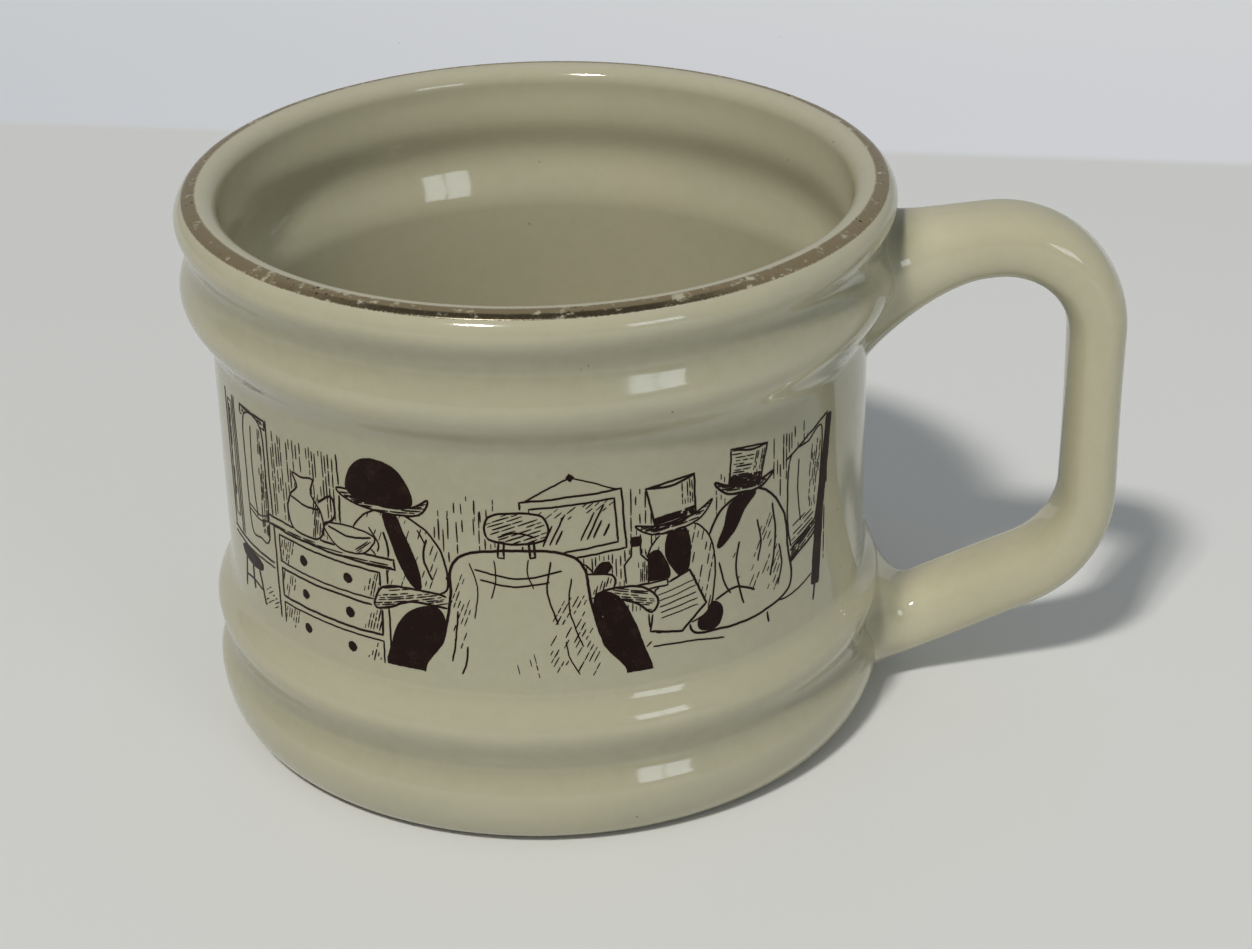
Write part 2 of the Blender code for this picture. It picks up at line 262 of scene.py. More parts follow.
def deselect():
    bpy.ops.object.select_all(action="DESELECT")


def ease(start, end, share):
    """Half a cosine wave from start to end, level at both."""
    return start + (end - start) * (1.0 - math.cos(math.pi * share)) / 2.0


def outside_radius(height):
    """Radius of the mug's outside at a height, in millimetres."""
    top_height, top_radius = STATIONS[0]
    foot_height, foot_radius = STATIONS[-1]
    if height >= top_height:
        rise = min((height - top_height) / (HEIGHT - top_height), 1.0)
        return LIP_TOP_RADIUS + (top_radius - LIP_TOP_RADIUS) * math.sqrt(1.0 - rise * rise)
    if height <= foot_height:
        drop = min((foot_height - height) / foot_height, 1.0)
        return FOOT_FACE_OUTER + (foot_radius - FOOT_FACE_OUTER) * math.sqrt(1.0 - drop * drop)
    for (high, radius_high), (low, radius_low) in zip(STATIONS, STATIONS[1:]):
        if low <= height <= high:
            return ease(radius_high, radius_low, (high - height) / (high - low))
    return PANEL_RADIUS


def quarter(start, end, steps, level_first):
    """Points after start, up to end, on a quarter ellipse that leaves start level or upright."""
    points = []
    for step in range(1, steps + 1):
        angle = math.pi / 2.0 * step / steps
        early, late = math.sin(angle), 1.0 - math.cos(angle)
        along, across = (early, late) if level_first else (late, early)
        points.append((start[0] + (end[0] - start[0]) * along, start[1] + (end[1] - start[1]) * across))
    return points


def eased_run(points, end, steps):
    """Adds points to a profile along half a wave to end."""
    start = points[-1]
    for step in range(1, steps + 1):
        share = step / steps
        points.append((ease(start[0], end[0], share), start[1] + (end[1] - start[1]) * share))


def turned(name, profile):
    """A round piece: a circle is extruded up or down and scaled, from ring to ring of its profile."""
    deselect()
    radius, height = profile[0]
    place = (AXIS_X * MM, 0.0, height * MM)
    bpy.ops.mesh.primitive_circle_add(vertices=AROUND, radius=radius * MM, location=place)
    piece = bpy.context.object
    bpy.ops.object.mode_set(mode="EDIT")
    bpy.ops.mesh.select_all(action="SELECT")
    for (before, low), (after, high) in zip(profile, profile[1:]):
        lift = (0.0, 0.0, (high - low) * MM)
        bpy.ops.mesh.extrude_region_move(TRANSFORM_OT_translate={"value": lift})
        centre = (AXIS_X * MM, 0.0, high * MM)
        growth = after / before
        bpy.ops.transform.resize(value=(growth, growth, 1.0), center_override=centre)
    finish_mesh(piece, name)
    return piece


def finish_mesh(piece, name):
    """Closes seams and poles, turns faces outwards and puts the place into the mesh."""
    bpy.ops.mesh.select_all(action="SELECT")
    bpy.ops.mesh.remove_doubles(threshold=0.002 * MM)
    bpy.ops.mesh.select_all(action="SELECT")
    bpy.ops.mesh.fill_holes(sides=0)
    bpy.ops.mesh.select_all(action="SELECT")
    bpy.ops.mesh.normals_make_consistent(inside=False)
    bpy.ops.object.mode_set(mode="OBJECT")
    piece.name = name
    piece.data.name = name
    bpy.ops.object.transform_apply(location=True, rotation=True, scale=True)
    bpy.ops.object.shade_smooth_by_angle(angle=math.radians(50.0))


def skinned(name, rings):
    """A closed tube over rings of points: a grid, wrapped round so that its rows become the rings."""
    deselect()
    count = len(rings[0])
    bpy.ops.mesh.primitive_grid_add(x_subdivisions=count, y_subdivisions=len(rings) - 1, size=1.0)
    piece = bpy.context.object
    for row, ring in enumerate(rings):
        for column in range(count + 1):
            piece.data.vertices[row * (count + 1) + column].co = ring[column % count] * MM
    bpy.ops.object.mode_set(mode="EDIT")
    finish_mesh(piece, name)
    return piece


def dress(piece, material):
    """Gives a piece its material and its slot, and lets it ride with the mug."""
    piece.data.materials.clear()
    piece.data.materials.append(material)
    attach(piece, "root")


# ---------------- body

def body_profile():
    """(radius, height) from the middle of the inside floor, over the rim, to the middle underneath."""
    bore = PANEL_RADIUS - WALL
    points = [(radius, FLOOR) for radius in (*MIDDLE_RADII, bore - FLOOR_FILLET)]
    points += quarter(points[-1], (bore, FLOOR + FLOOR_FILLET), RING_STEPS, True)
    points.append((bore, PANEL_TOP))
    for height, radius in STATIONS[2:0:-1]:
        eased_run(points, (bore + (radius - PANEL_RADIUS) * INSIDE_FOLLOWS, height), RING_STEPS)
    eased_run(points, (points[-1][0] + LIP_INNER_STEP, HEIGHT - LIP_INNER_DROP), 6)
    points += quarter(points[-1], (LIP_TOP_RADIUS, HEIGHT), 12, False)
    points += quarter(points[-1], (STATIONS[0][1], STATIONS[0][0]), 16, True)
    for (_, before), (height, radius) in zip(STATIONS, STATIONS[1:]):
        eased_run(points, (radius, height), 6 if before == radius else RING_STEPS)
    points += quarter(points[-1], (FOOT_FACE_OUTER, 0.0), 14, False)
    points.append((FOOT_FACE_INNER, 0.0))
    points += quarter(points[-1], (FOOT_FACE_INNER - FOOT_RECESS, FOOT_RECESS), 6, False)
    points += [(radius, FOOT_RECESS) for radius in MIDDLE_RADII[::-1]]
    return points


# ---------------- handle

def straight(start, end):
    """Stations from start up to, but not at, end, each with the way that the line runs."""
    way = (end - start).normalized()
    count = max(2, round((end - start).length / PATH_STEP))
    return [(start + (end - start) * step / count, way) for step in range(count)]


def arc(start, way, turn, radius):
    """Stations on a clockwise arc, from its start up to, but not at, its end."""
    inward = Vector((way.y, -way.x))
    centre = start + inward * radius
    count = max(2, math.ceil(turn / ARC_STEP))
    stations = []
    for step in range(count):
        angle = turn * step / count
        spoke = way * math.sin(angle) - inward * math.cos(angle)
        stations.append((centre + spoke * radius, way * math.cos(angle) + inward * math.sin(angle)))
    return stations


def handle_path():
    """(x from the axis, height) stations down the middle of the handle, from root to root."""
    limb_x = HANDLE_REACH - LIMB_THICKNESS / 2.0
    start = Vector((PANEL_RADIUS, TOP_RUN_HEIGHT - TOP_RUN_RISE))
    top_corner = Vector((limb_x, TOP_RUN_HEIGHT))
    low_corner = Vector((limb_x, LOWER_CORNER_HEIGHT))
    end = Vector((PANEL_RADIUS, LOWER_CORNER_HEIGHT - LOWER_RUN_DROP))
    reached = start + (top_corner - start).normalized() * UPPER_STRAIGHT_START
    path = []
    for corner, after, radius in (
        (top_corner, low_corner, TOP_CORNER_RADIUS),
        (low_corner, end, LOWER_CORNER_RADIUS),
    ):
        way_in = (corner - reached).normalized()
        way_out = (after - corner).normalized()
        turn = way_in.angle(way_out)
        tangent = radius * math.tan(turn / 2.0)
        path += straight(reached, corner - way_in * tangent)
        path += arc(corner - way_in * tangent, way_in, turn, radius)
        reached = corner + way_out * tangent
    way_out = (end - low_corner).normalized()
    last = end - way_out * LOWER_STRAIGHT_END
    path += straight(reached, last)
    path.append((last, way_out))
    return path


def squared_circle(index):
    """A point on a circle of radius one with its sides pushed out towards a square."""
    angle = 2.0 * math.pi * index / SECTION_POINTS
    power = 2.0 / SQUARENESS
    across = math.copysign(abs(math.cos(angle)) ** power, math.cos(angle))
    along = math.copysign(abs(math.sin(angle)) ** power, math.sin(angle))
    return across, along


def section_ring(centre, way, thickness):
    """The handle's section about a station, as points in 3D from the mug's axis."""
    ring = []
    for index in range(SECTION_POINTS):
        across, along = squared_circle(index)
        x = centre.x - way.y * along * thickness / 2.0
        z = centre.y + way.x * along * thickness / 2.0
        ring.append(Vector((x, across * HANDLE_WIDTH / 2.0, z)))
    return ring


def on_body(across, height, lift):
    """The point at that y and height, on the +X side, lifted square off the body's surface."""
    slope = (outside_radius(height + 0.05) - outside_radius(height - 0.05)) / 0.1
    radius = outside_radius(height) + lift * math.hypot(1.0, slope)
    return Vector((math.sqrt(radius * radius - across * across), across, height))


def footprint(root, share, lift):
    """Points round the outline where a root meets the body, drawn in by share."""
    ring = []
    for index in range(SECTION_POINTS):
        across, along = squared_circle(index)
        height = root["centre"] + root["up"] * along * root["half_height"] * share
        ring.append(on_body(across * root["half_width"] * share, height, lift))
    return ring


def flare(root, tube, way):
    """Rings that spread from the handle's section and settle on the body, body first."""
    feet = footprint(root, 1.0, -EDGE_SUNK)
    skirts = footprint(root, SKIRT_SHARE, SKIRT_LIFT)
    rings = []
    for step in range(FLARE_STEPS):
        share = step / FLARE_STEPS
        ring = []
        for foot, skirt, end in zip(feet, skirts, tube):
            towards_gap = 0.5 + 0.5 * root["gap_side"] * (foot.z - root["centre"]) / root["half_height"]
            lift = root["outer_lift"] + (root["gap_lift"] - root["outer_lift"]) * towards_gap
            reach = (on_body(end.y, end.z, lift).x - end.x) / way.x
            bend = Vector((end.x + way.x * reach, end.y, end.z + way.y * reach))
            rest = 1.0 - share
            point = foot * rest ** 3 + skirt * (3.0 * share * rest ** 2)
            ring.append(point + bend * (3.0 * share ** 2 * rest) + end * share ** 3)
        rings.append(ring)
    return rings


def make_handle():
    path = handle_path()
    length = len(path) - 1
    tube = []
    for index, (centre, way) in enumerate(path):
        thin = math.sin(math.pi * index / length) ** 2
        thickness = RUN_THICKNESS + (LIMB_THICKNESS - RUN_THICKNESS) * thin
        tube.append(section_ring(centre, way, thickness))
    rings = flare(UPPER_ROOT, tube[0], -path[0][1]) + tube
    rings += flare(LOWER_ROOT, tube[-1], path[-1][1])[::-1]
    for root, at_start in ((UPPER_ROOT, True), (LOWER_ROOT, False)):
        inset = footprint(root, CAP_SHARE, -CAP_DEPTH)
        middle = [on_body(0.0, root["centre"], -CAP_MIDDLE_DEPTH)] * SECTION_POINTS
        rings = [middle, inset] + rings if at_start else rings + [inset, middle]
    axis = Vector((AXIS_X, 0.0, 0.0))
    return skinned("handle_glazed", [[point + axis for point in ring] for ring in rings])


# ---------------- gilt band

def make_gilt():
    """A closed ring of lustre that lies on the lip's shoulder."""
    crest_radius = PANEL_RADIUS + LIP_PROUD
    over, under = [], []
    steps = 14
    for step in range(steps + 1):
        share = step / steps
        radius = LIP_TOP_RADIUS + GILT_INSET + GILT_WIDTH * share
        out = (radius - LIP_TOP_RADIUS) / (crest_radius - LIP_TOP_RADIUS)
        height = LIP_CREST + (HEIGHT - LIP_CREST) * math.sqrt(1.0 - out * out)
        edge = min(1.0, 5.0 * min(share, 1.0 - share))
        over.append((radius, height + 0.01 + 0.05 * math.sqrt(edge)))
        under.append((radius, height - 0.08))
    ring = over + under[::-1]
    return turned("gilt_band", ring + ring[:1])


# ---------------- ink print

SHEET_LEFT = math.radians(-157.5)
SHEET_WIDTH = 111.6
INK_LIFT = 0.045
INK_DEPTH = 0.03
PEN_STEP = 0.55


def rounded(points, closed):
    """More points on a smooth curve through the points."""
    count = len(points)
    curve = []
    for index in range(count if closed else count - 1):
        around = []
        for offset in (-1, 0, 1, 2):
            place = index + offset
            around.append(points[place % count] if closed else points[max(0, min(place, count - 1))])
        before, start, end, after = around
        steps = max(1, round(math.dist(start, end) / PEN_STEP))
        for step in range(steps):
            share = step / steps
            curve.append(tuple(
                start[axis]
                + 0.5 * share * (end[axis] - before[axis])
                + share ** 2 * (before[axis] - 2.5 * start[axis] + 2.0 * end[axis] - 0.5 * after[axis])
                + share ** 3 * (1.5 * (start[axis] - end[axis]) + 0.5 * (after[axis] - before[axis]))
                for axis in (0, 1)
            ))
    curve.append(points[0] if closed else points[-1])
    return curve


def ruled(points, closed):
    """More points on the straight lines from point to point."""
    ends = points[1:] + points[:1] if closed else points[1:]
    line = []
    for start, end in zip(points, ends):
        steps = max(1, round(math.dist(start, end) / PEN_STEP))
        for step in range(steps):
            share = step / steps
            line.append((start[0] + (end[0] - start[0]) * share, start[1] + (end[1] - start[1]) * share))
    line.append(ends[-1])
    return line


def encloses(outline, point):
    """Whether a point lies inside an outline."""
    within = False
    for (u, v), (next_u, next_v) in zip(outline, outline[1:] + outline[:1]):
        if (v > point[1]) != (next_v > point[1]):
            if point[0] < u + (point[1] - v) * (next_u - u) / (next_v - v):
                within = not within
    return within


class Pen:
    """A pen that draws in millimetres on the unrolled panel, from the front to the back.

    What is drawn hides what is drawn after it, so every finished thing is added to the covers.
    """

    def __init__(self, seed):
        self.chance = random.Random(seed)
        self.covers = []
        self.layers = {"lines": [], "shading": [], "solid": []}

    def hidden(self, point):
        for low, high, outline in self.covers:
            if low[0] < point[0] < high[0] and low[1] < point[1] < high[1] and encloses(outline, point):
                return True
        return not (0.0 < point[0] < SHEET_WIDTH and 0.0 < point[1] < PRINT_TOP - PRINT_BOTTOM - 0.2)

    def cover(self, *outlines):
        for outline in outlines:
            low = (min(point[0] for point in outline), min(point[1] for point in outline))
            high = (max(point[0] for point in outline), max(point[1] for point in outline))
            self.covers.append((low, high, outline))

    def stroke(self, points, width, layer="lines", loose=0.05):
        """A stroke with a hand's waver, cut where it is hidden and thin at both ends."""
        run = []
        drift = [0.0, 0.0]
        for point in points + [None]:
            if point is not None and not self.hidden(point):
                for axis in (0, 1):
                    drift[axis] = drift[axis] * 0.7 + self.chance.uniform(-loose, loose)
                run.append((point[0] + drift[0], point[1] + drift[1]))
                continue
            if len(run) > 1:
                heavy = width * self.chance.uniform(0.85, 1.25)
                last = len(run) - 1
                ends = [min(n, last - n) + 0.3 for n in range(last + 1)]
                thin = 1.0 if layer == "solid" else 0.35
                widths = [heavy * (thin + (1.0 - thin) * min(1.0, 1.3 * end)) for end in ends]
                self.layers[layer].append((run, widths))
            run = []

    def line(self, *points, width=0.28, curved=True):
        self.stroke((rounded if curved else ruled)(list(points), False), width)

    def shape(self, *points, width=0.3, curved=True):
        """Draws an outline and gives it back, so that it can be shaded and covered."""
        outline = (rounded if curved else ruled)(list(points), True)
        self.stroke(outline, width)
        return outline[:-1]

    def hatch(self, outline, lean=90.0, pitch=0.7, width=0.19, kept=0.85, dash=4.0, layer="shading"):
        """Broken strokes at an angle, inside an outline."""
        way = (math.cos(math.radians(lean)), math.sin(math.radians(lean)))
        middle = [sum(point[axis] for point in outline) / len(outline) for axis in (0, 1)]
        reach = max(math.dist(point, middle) for point in outline)
        side = -reach
        while side < reach:
            side += pitch * self.chance.uniform(0.7, 1.1)
            along = -reach
            while along < reach:
                length = dash * self.chance.uniform(0.4, 1.3)
                if self.chance.random() < kept:
                    self.hatch_stroke(outline, middle, way, side, (along, along + length), width, layer)
                along += length + self.chance.uniform(0.15, 0.5)

    def hatch_stroke(self, outline, middle, way, side, ends, width, layer):
        step_length = PEN_STEP * (0.5 if layer == "solid" else 1.4)
        steps = max(2, round((ends[1] - ends[0]) / step_length))
        run = []
        for step in range(steps + 1):
            along = ends[0] + (ends[1] - ends[0]) * step / steps
            point = (middle[0] + way[0] * along - way[1] * side, middle[1] + way[1] * along + way[0] * side)
            if encloses(outline, point):
                run.append(point)
            elif run:
                break
        if len(run) > 1:
            self.stroke(run, width, layer, loose=0.03)

    def ink(self, *points, curved=True, lean=90.0):
        """A solid area: close strokes that overlap, and a firm edge."""
        outline = self.shape(*points, width=0.5, curved=curved)
        self.hatch(outline, lean, 0.27, 0.5, 1.0, 30.0, "solid")
        return outline


def chair(pen):
    """An empty barber's chair with a cape over its back."""
    rest = pen.shape((52, 22.5), (52.3, 25.6), (56, 26.4), (59.8, 25.6), (60, 22.4), (56, 21.6), width=0.34)
    pen.hatch(rest, 20, 0.6, 0.2, 0.75, 2.5)
    pen.line((53.5, 22.6), (56, 23.3), (58.6, 22.6))
    posts = [
        pen.shape((53.4, 19.5), (53.6, 21.9), (54.3, 21.8), (54.2, 19.4), curved=False),
        pen.shape((57.8, 19.4), (57.7, 21.8), (58.4, 21.9), (58.6, 19.5), curved=False),
    ]
    cape = pen.shape(
        (43.5, -1), (45.2, 6), (46.4, 12.5), (46.8, 17.6), (49.5, 19.9), (56, 20.6), (62.5, 19.9),
        (65.2, 17.4), (66, 12), (67.6, 5.5), (69.6, -1), width=0.34,
    )
    for fold in (
        ((49.4, 18.4), (50.4, 14.6), (49.8, 9.6)), ((52.8, 19), (53, 16.2), (52.2, 13)),
        ((60.6, 18.8), (60, 14.4), (61.4, 8.8)), ((57.6, 19.2), (57.4, 17), (58.2, 14.6)),
        ((63.4, 16), (63, 11), (64.8, 5)), ((47.4, 10.6), (46.9, 6.2), (46.2, 2.4)),
        ((62.4, 6), (62.9, 3.2), (64.2, 0.6)), ((48.6, 5), (48.4, 2.4), (47.6, 0.4)),
        ((50, 17.4), (56, 16.2), (62.2, 17.2)), ((50.8, 15.9), (55.6, 14.9), (60.4, 15.6)),
    ):
        pen.line(*fold, width=0.22)
    pen.hatch([(60.5, 1), (59.5, 7), (62, 13), (65.5, 13.5), (67, 5), (68, 0)], 62, 0.8, 0.18, 0.5, 1.5)
    pen.hatch([(46.5, 3), (46.5, 12), (48.2, 17.5), (49.6, 14), (48.8, 6)], 70, 0.6, 0.16, 0.6, 1.4)
    pen.hatch([(55, -1), (54.5, 3), (58, 4.5), (60, -1)], 100, 1, 0.16, 0.45, 1.3)
    pen.cover(rest, cape, *posts)
    left = pen.ink(
        (36.6, -1), (37.2, 3.6), (38.8, 7.6), (41.2, 10), (44.2, 10.6), (45.4, 8), (44.4, 3), (43.4, -1),
    )
    right = pen.ink(
        (69.6, -1), (68, 4.6), (66.6, 9.8), (67, 13.2), (69.6, 12.4), (71.6, 9), (73.2, 4.2), (74.4, -1),
    )
    pen.cover(left, right)
    arm = pen.shape(
        (34.6, 9.2), (36, 12.4), (40.2, 13.2), (45.8, 12.6), (46.2, 10.9), (40.6, 11.2), (36.8, 9.4),
    )
    pen.hatch(arm, 15, 0.4, 0.2, 0.85, 2.2)
    scroll = pen.shape(
        (67, 13.2), (69.8, 13.9), (73.4, 13.4), (75.6, 11), (74.6, 9.2), (72.6, 10.9), (69.8, 12.1),
    )
    pen.hatch(scroll, 165, 0.4, 0.2, 0.85, 2.2)
    pen.cover(arm, scroll)


def washstand(pen):
    """A chest with drawers, and on it a basin and a jug."""
    jug = pen.shape(
        (20.2, 17), (19, 19.6), (19.8, 22.4), (21.4, 24.2), (20.6, 26.2), (22.4, 26), (24.8, 26.4),
        (24.2, 24), (25.9, 21.8), (26.3, 19.2), (24.9, 17),
    )
    shade = [(23.6, 17), (24.4, 20), (23.4, 24), (24.4, 25.6), (26.2, 22), (26.2, 18), (25, 17)]
    pen.hatch(shade, 80, 0.45, 0.2)
    pen.line((19.9, 22.2), (22.8, 21.6), (25.7, 21.9))
    pen.line((25.6, 23), (28.2, 24.6), (28.6, 21.8), (26.4, 19.6), width=0.42)
    pen.cover(jug)
    basin = pen.shape(
        (26.6, 20.2), (27.4, 18.2), (29.2, 16.9), (32.4, 16.9), (34.4, 18.2), (35.2, 20.2), (31, 20.9),
    )
    pen.line((27.2, 19.9), (31, 19.2), (34.7, 19.9))
    pen.hatch([(31.6, 17), (33.4, 19.3), (35, 19.8), (34, 18), (32.6, 16.9)], 40, 0.4, 0.2)
    pen.cover(basin)
    top = pen.shape((13.6, 15.6), (13.8, 17), (38.2, 17.2), (38.3, 15.7), curved=False)
    pen.hatch([(13.6, 15.6), (13.8, 16.2), (38.2, 16.3), (38.3, 15.7)], 3, 0.35, 0.2)
    pen.cover(top)
    chest = ruled([(15, -1), (15, 15.6), (37, 15.6), (37, -1)], True)
    pen.line((15, 15.4), (15.1, 0), curved=False, width=0.34)
    pen.line((37, 15.4), (36.9, 0), curved=False, width=0.34)
    for low, high in ((10.2, 14.6), (4.6, 9.2), (-1, 3.6)):
        pen.shape((16.2, low), (16.3, high), (35.8, high + 0.1), (35.7, low), curved=False)
        pen.hatch([(16.2, low), (16.3, high), (20.6, high), (18, low)], 75, 0.6, 0.17, 0.8, 1.6)
        pen.hatch([(31.5, low), (35, high), (35.8, high), (35.7, low)], 75, 0.55, 0.2, 0.85, 1.8)
        for knob in (21.6, 30.2):
            middle = (low + high) / 2.0
            pen.ink((knob - 0.6, middle), (knob, middle + 0.6), (knob + 0.6, middle), (knob, middle - 0.6))
    pen.cover(chest)


def hat_stand(pen):
    """A bowler above a coat with a dark lapel."""
    hat = pen.ink(
        (31.4, 26.6), (32.2, 30.2), (35, 32.1), (38.6, 31.6), (40.8, 29), (41, 26.2), (36.4, 25.6), lean=60,
    )
    brim = pen.shape(
        (29.2, 26.4), (32.6, 26.7), (37, 25.9), (41.4, 26), (43.8, 27.4), (42.4, 25), (37, 24.4), (31.6, 25),
        width=0.34,
    )
    pen.hatch(brim, 5, 0.35, 0.24, 0.9)
    pen.cover(hat, brim)
    coat = pen.shape(
        (36, 24.6), (33.4, 23), (31.8, 20), (35.4, 17.4), (36.2, 12.6), (44.8, 12.9), (46.2, 15.4),
        (45.4, 19.6), (43.4, 22.6), (39.8, 24.6),
    )
    lapel = pen.ink(
        (37, 24.2), (38.2, 20), (40, 15.4), (41.9, 13.4), (41.6, 17), (39.8, 21.4), (38.6, 24.2),
    )
    pen.cover(lapel)
    for fold in (
        ((34.4, 21.6), (35.8, 19.4), (35.6, 18)), ((43.4, 21.4), (42.8, 18.2), (44, 15)),
        ((36.8, 21.4), (37.4, 18.6), (37, 15.4)), ((42, 22.6), (43, 20.6), (42.8, 19.4)),
    ):
        pen.line(*fold)
    pen.hatch(coat, 70, 0.95, 0.16, 0.35, 1.6)
    pen.cover(coat)


def looking_glass(pen):
    """A framed mirror on a cord, with slanting glints."""
    outer = pen.shape((56.6, 28), (70.6, 29.2), (71.2, 20), (57, 18.4), curved=False, width=0.34)
    pen.shape((57.8, 26.9), (69.6, 27.9), (70, 21), (58.1, 19.6), curved=False, width=0.24)
    for start, length in (
        (59.6, 3.2), (60.6, 4.6), (61.4, 2.2), (64.8, 4.2), (65.7, 5.2), (66.6, 2.6), (68, 1.8),
    ):
        low = 21.0 + (start - 58) * 0.12
        pen.line((start, low), (start + length * 0.45, low + length), curved=False, width=0.26)
    shade = ruled([(57.8, 26.9), (69.6, 27.9), (69.7, 26), (57.9, 24.6)], True)[:-1]
    pen.hatch(shade, 40, 0.7, 0.16, 0.6, 1.6)
    pen.cover(outer)
    pen.line((57.4, 28.2), (60.6, 30), (63.4, 31.5), curved=False, width=0.22)
    pen.line((63.6, 31.5), (67, 30.4), (70, 29.2), curved=False, width=0.22)
    pen.ink((63.1, 31.5), (63.5, 32), (64, 31.6), (63.6, 31.1))


def shelf(pen):
    """A shelf with a shaving bowl, a brush and a corked bottle."""
    bowl = pen.shape((61, 15.8), (61.9, 13), (68.2, 13), (69.2, 15.8), (65, 16.5), width=0.28)
    pen.hatch([(66, 13), (67.6, 15.8), (69.2, 15.8), (68.2, 13)], 75, 0.4, 0.2)
    pen.cover(bowl)
    handle = pen.ink((66, 15.9), (67.8, 18), (68.8, 17.3), (67.2, 15.5))
    hair = pen.shape((61.8, 16.2), (63, 18.4), (65, 18.2), (66.2, 16.2))
    pen.hatch(hair, 95, 0.4, 0.16, 0.9, 1.5)
    pen.cover(handle, hair)
    board = pen.shape((68, 12.7), (68, 13.5), (77, 13.9), (77, 13), curved=False)
    pen.cover(board)
    bottle = pen.shape(
        (71, 13.7), (70.8, 17.2), (71.8, 18.4), (71.9, 20), (73.1, 20.1), (73.2, 18.5), (74.3, 17.3),
        (74.2, 13.8), curved=False, width=0.26,
    )
    pen.hatch([(72.8, 13.8), (72.8, 17.6), (74.3, 17.3), (74.2, 13.8)], 88, 0.35, 0.2)
    cork = pen.ink((71.9, 20.1), (72, 21.2), (73.1, 21.2), (73.1, 20.2), curved=False)
    pen.cover(bottle, cork)


def top_hat(pen, u, v, size, lean, dark):
    """A tall hat with a band, leaning a little."""
    def at(across, up):
        turn = math.radians(lean)
        return (
            u + size * (across * math.cos(turn) + up * math.sin(turn)),
            v + size * (up * math.cos(turn) - across * math.sin(turn)),
        )
    brim = pen.shape(
        at(-0.95, 0.16), at(-0.5, 0.02), at(0, -0.06), at(0.5, 0.02), at(0.95, 0.2), at(0.6, -0.14),
        at(0, -0.24), at(-0.6, -0.16),
    )
    pen.hatch(brim, -lean, 0.3, 0.24, 0.9)
    crown = pen.shape(at(-0.5, 0), at(-0.58, 1), at(0.58, 1), at(0.5, 0), curved=False)
    pen.line(at(-0.58, 1), at(0, 0.9), at(0.58, 1))
    band = [at(-0.5, 0.04), at(-0.52, 0.24), at(0.52, 0.24), at(0.5, 0.04)]
    pen.hatch(band, -lean, 0.3, 0.3, 1, 6, "solid")
    shade = [at(0.2, 0.26), at(0.24, 0.94), at(0.56, 0.96), at(0.5, 0.26)]
    pen.hatch(shade, 85.0 - lean, 0.42, 0.2, 0.85, 1.8)
    if dark:
        pen.hatch([at(-0.5, 0.26), at(-0.56, 0.96), at(0.3, 0.9), at(0.2, 0.26)], -lean, 0.5, 0.2, 0.8, 2.4)
    pen.cover(brim, crown)


def coats(pen):
    """Two coats below two tall hats, and a folded paper."""
    paper = pen.shape((74.4, 6), (75.2, 12.6), (80.4, 14.6), (83, 8.6), (79.2, 5), curved=False)
    for row in range(5):
        shift = 0.95 * row
        pen.line((75.6 + 0.1 * row, 11.6 - shift), (81.2 + 0.12 * row, 12.9 - shift * 1.1), width=0.16)
    pen.cover(paper)
    top_hat(pen, 78.4, 22.8, 6.2, -7, False)
    top_hat(pen, 89.6, 25.4, 5.6, 9, True)
    first = pen.shape(
        (78.4, 22), (75.6, 20.6), (73.9, 17.4), (74.3, 13), (74.9, 6), (82.6, 6.8), (84.4, 12), (84, 18),
        (81.6, 21.4), width=0.28,
    )
    lapel = pen.ink((77.6, 21.4), (77, 17.6), (79.4, 13.8), (80.4, 17.4), (79.6, 21.4))
    dark = pen.ink((73.9, 17.2), (74.4, 14.2), (76.4, 12.8), (77.2, 15.2), (75.6, 18.6))
    pen.cover(lapel, dark)
    pen.hatch(first, 78, 0.9, 0.18, 0.45, 1.6)
    pen.cover(first)
    second = pen.shape(
        (89, 24), (85.6, 22.6), (83.4, 18.6), (82, 12), (80.6, 5), (86, 3.6), (93, 3.8), (98.6, 6),
        (98, 12.6), (97.2, 18), (94.4, 22.4), (91.6, 24), width=0.32,
    )
    collar = pen.ink((87.4, 23.2), (86.2, 20), (85, 16.8), (87.6, 18.6), (89.4, 21.6), (91.4, 23.6))
    cuff = pen.ink((82.6, 8), (82, 4.9), (84.6, 4.4), (85.6, 6.6), (84.4, 8.2))
    pen.cover(collar, cuff)
    for fold in (
        ((94.8, 20.6), (95.4, 15), (94.4, 9)), ((88.6, 16.6), (88, 12), (89.4, 6.4)),
        ((91.8, 19), (92.6, 15.4), (92, 12.4)), ((85.2, 14.4), (86, 11), (87, 8.8)),
        ((96.2, 13.6), (96.8, 10.2), (96, 7)), ((84.6, 8.6), (88, 9.6), (91.4, 8)),
    ):
        pen.line(*fold)
    pen.hatch([(90, 8), (92, 17), (94.6, 20), (96.6, 12), (96, 6)], 62, 0.8, 0.17, 0.55, 1.6)
    pen.hatch([(86, 11), (86.4, 16), (88.4, 15), (89, 10)], 55, 0.7, 0.17, 0.6, 1.3)
    pen.cover(second)


